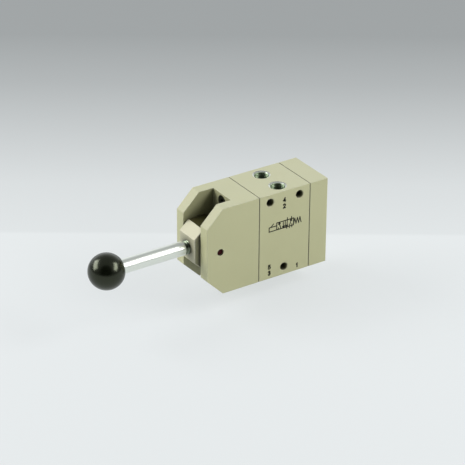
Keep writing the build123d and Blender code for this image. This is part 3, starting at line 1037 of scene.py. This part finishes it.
# %% [markdown]
# ## Camera
# A long lens, far away, shows the blocks with little perspective, from the lever's side and
# from above. The view is given as an azimuth, an elevation and a small roll about the point
# that the lens looks at. Sliding the camera sideways frames the valve without tilting it.

# %% Camera
AZIMUTH = math.radians(-33.53)
ELEVATION = math.radians(28.05)
ROLL = math.radians(0.34)
DISTANCE = 1.1603
SLIDE = (-0.00480, -0.00253)
LENS = 165.8
SENSOR_WIDTH = 36.0
CLIP = (0.05, 20.0)
AWAY = (-math.sin(AZIMUTH), math.cos(AZIMUTH), 0.0)
target = np.array([-0.0164, 0.0023, AXIS_HEIGHT])


def place_matrix(right, up, back, spot):
    """The matrix of an object that looks against its third axis, from its axes and its place."""
    rows = [[float(axis[i]) for axis in (right, up, back, spot)] for i in range(3)]
    return Matrix(rows + [[0.0, 0.0, 0.0, 1.0]])


backwards = np.array(
    [
        math.sin(AZIMUTH) * math.cos(ELEVATION),
        -math.cos(AZIMUTH) * math.cos(ELEVATION),
        math.sin(ELEVATION),
    ]
)
level = np.array([math.cos(AZIMUTH), math.sin(AZIMUTH), 0.0])
upwards = np.cross(backwards, level)
camera_right = math.cos(ROLL) * level + math.sin(ROLL) * upwards
camera_up = math.cos(ROLL) * upwards - math.sin(ROLL) * level
camera_place = target + backwards * DISTANCE + camera_right * SLIDE[0] + camera_up * SLIDE[1]
camera_data = bpy.data.cameras.new("camera")
camera_data.lens = LENS
camera_data.sensor_width = SENSOR_WIDTH
camera_data.clip_start, camera_data.clip_end = CLIP
camera = bpy.data.objects.new("camera", camera_data)
camera.matrix_world = place_matrix(camera_right, camera_up, backwards, camera_place)
bpy.context.scene.collection.objects.link(camera)
bpy.context.scene.camera = camera
print("camera at:", camera_place.round(3).tolist())

# %% [markdown]
# ## Floor
# The real valve hangs on a machine by its side holes, and its knob swings about 10 mm below
# its base. So the pale paper lies just lower than the knob ever reaches. It turns grey towards
# the back of the studio, by how far back a point lies. It glows a little for the camera and in
# reflections, so that it looks even, and keeps the soft shadow of the valve.

# %% Floor
FLOOR_SIZE = 6.0
FLOOR_DROP = 10.8 * MM
PAPER_SHADE = 0.25
PAPER_START = 0.0595
PAPER_FULL = 0.3545
PAPER_TONES = ((0.0, 228), (0.012, 222), (0.22, 215), (0.45, 199), (0.72, 178), (1.0, 161))


def make_paper():
    """Paper whose colour runs along the floor, away from the front of the studio."""
    material = bpy.data.materials.new("studio_paper")
    material.use_nodes = True
    nodes, links = material.node_tree.nodes, material.node_tree.links
    nodes.clear()
    output = nodes.new("ShaderNodeOutputMaterial")
    away = nodes.new("ShaderNodeVectorMath")
    away.operation = "DOT_PRODUCT"
    links.new(nodes.new("ShaderNodeTexCoord").outputs["Object"], away.inputs[0])
    away.inputs[1].default_value = AWAY
    reach = nodes.new("ShaderNodeMapRange")
    origin = float(target @ AWAY)
    reach.inputs["From Min"].default_value = origin + PAPER_START
    reach.inputs["From Max"].default_value = origin + PAPER_FULL
    links.new(away.outputs["Value"], reach.inputs["Value"])
    ramp = nodes.new("ShaderNodeValToRGB")
    stops = ramp.color_ramp.elements
    for position, _ in PAPER_TONES[1:-1]:
        stops.new(position)
    for stop, (position, tone) in zip(stops, PAPER_TONES):
        stop.position = position
        stop.color = swatch(tone, tone + 4, tone + 5)
    links.new(reach.outputs["Result"], ramp.inputs["Fac"])
    glow = nodes.new("ShaderNodeEmission")
    links.new(ramp.outputs["Color"], glow.inputs["Color"])
    paper = nodes.new("ShaderNodeBsdfDiffuse")
    links.new(ramp.outputs["Color"], paper.inputs["Color"])
    seen = nodes.new("ShaderNodeMixShader")
    seen.inputs["Fac"].default_value = PAPER_SHADE
    links.new(glow.outputs[0], seen.inputs[1])
    links.new(paper.outputs[0], seen.inputs[2])
    rays = nodes.new("ShaderNodeLightPath").outputs
    direct = math_node(nodes, links, "MAXIMUM", rays["Is Camera Ray"], rays["Is Glossy Ray"])
    direct = math_node(nodes, links, "MAXIMUM", direct, rays["Is Transmission Ray"])
    choice = nodes.new("ShaderNodeMixShader")
    links.new(direct, choice.inputs["Fac"])
    links.new(paper.outputs[0], choice.inputs[1])
    links.new(seen.outputs[0], choice.inputs[2])
    links.new(choice.outputs[0], output.inputs["Surface"])
    return material


half = FLOOR_SIZE / 2
floor_corners = ((-half, -half), (half, -half), (half, half), (-half, half))
floor_mesh = bpy.data.meshes.new("floor")
floor_mesh.from_pydata([(x, y, -FLOOR_DROP) for x, y in floor_corners], [], [(0, 1, 2, 3)])
floor_mesh.materials.append(make_paper())
floor = bpy.data.objects.new("floor", floor_mesh)
bpy.context.scene.collection.objects.link(floor)
print("floor lies below the base by mm:", round(FLOOR_DROP / MM, 1))

# %% [markdown]
# ## Light
# Two long soft strips hang high on either side and run away from the camera, so each shows as
# an upright patch on the knob. The left one gives the cut corners their bright edge, and the
# right one fills the rod with a white band. Small lamps would do neither: they leave dots.


# %% Lamps
def strip_lamp(name, heading, along, length, width, power):
    """A rectangular lamp one metre from the valve in one direction, its length along another."""
    heading = Vector(heading).normalized()
    along = Vector(along)
    lamp_data = bpy.data.lights.new(name, "AREA")
    lamp_data.shape = "RECTANGLE"
    lamp_data.size = width
    lamp_data.size_y = length
    lamp_data.energy = power
    lamp = bpy.data.objects.new(name, lamp_data)
    long_axis = (along - heading * along.dot(heading)).normalized()
    spot = Vector(target.tolist()) + heading
    lamp.matrix_world = place_matrix(long_axis.cross(heading), long_axis, heading, spot)
    bpy.context.scene.collection.objects.link(lamp)
    print(name, "at:", [round(v, 2) for v in spot])


strip_lamp(
    "left_strip",
    heading=(-0.719, 0.564, 0.530),
    along=(0.59, 0.59, 0.34),
    length=0.85,
    width=0.44,
    power=8.3,
)
strip_lamp(
    "right_strip",
    heading=(0.585, -0.570, 0.575),
    along=(0.27, 0.68, 0.36),
    length=0.80,
    width=0.37,
    power=7.7,
)

# %% [markdown]
# The surround is what polished metal and black plastic reflect: a lit backdrop behind the
# valve, a paler ceiling, and a dark place behind the camera that keeps the knob black. It is
# brightness by direction alone, so one small tree makes it.

# %% Surround
CEILING = 0.42
HORIZON = 0.22
BACKDROP = 1.05
BEHIND_CAMERA = 0.12
CEILING_RISE = (0.0, 0.9)
BACKDROP_TURN = (0.2, 1.0)
BACKDROP_FALL = (0.0, 1.0)
CAMERA_TURN = (0.68, 0.9)
SURROUND_TINT = (0.95, 0.98, 1.0, 1.0)


def make_surround():
    """Brightness by direction: height, how far to the backdrop, and how near the camera."""
    world = bpy.data.worlds.new("surround")
    world.use_nodes = True
    nodes, links = world.node_tree.nodes, world.node_tree.links
    look = nodes.new("ShaderNodeTexCoord").outputs["Generated"]
    parts = nodes.new("ShaderNodeSeparateXYZ")
    links.new(look, parts.inputs[0])
    height = parts.outputs["Z"]

    def facing(direction):
        dot = nodes.new("ShaderNodeVectorMath")
        dot.operation = "DOT_PRODUCT"
        links.new(look, dot.inputs[0])
        dot.inputs[1].default_value = tuple(float(v) for v in direction)
        return dot.outputs["Value"]

    def smooth_step(value, span, at_low, at_high):
        node = nodes.new("ShaderNodeMapRange")
        node.interpolation_type = "SMOOTHSTEP"
        labels = ("From Min", "From Max", "To Min", "To Max")
        for label, number in zip(labels, (*span, at_low, at_high)):
            node.inputs[label].default_value = number
        links.new(value, node.inputs["Value"])
        return node.outputs["Result"]

    overhead = smooth_step(height, CEILING_RISE, HORIZON, CEILING)
    away = smooth_step(facing(AWAY), BACKDROP_TURN, 0.0, BACKDROP)
    low_down = smooth_step(height, BACKDROP_FALL, 1.0, 0.0)
    backdrop = math_node(nodes, links, "MULTIPLY", away, low_down)
    strength = math_node(nodes, links, "ADD", overhead, backdrop)
    dark_place = smooth_step(facing(backwards), CAMERA_TURN, 1.0, BEHIND_CAMERA)
    strength = math_node(nodes, links, "MULTIPLY", strength, dark_place)
    surround = nodes["Background"]
    surround.inputs["Color"].default_value = SURROUND_TINT
    links.new(strength, surround.inputs["Strength"])
    return world


bpy.context.scene.world = make_surround()
bpy.context.scene.view_settings.view_transform = "Standard"
print("surround from", HORIZON, "at the horizon to", CEILING, "overhead")
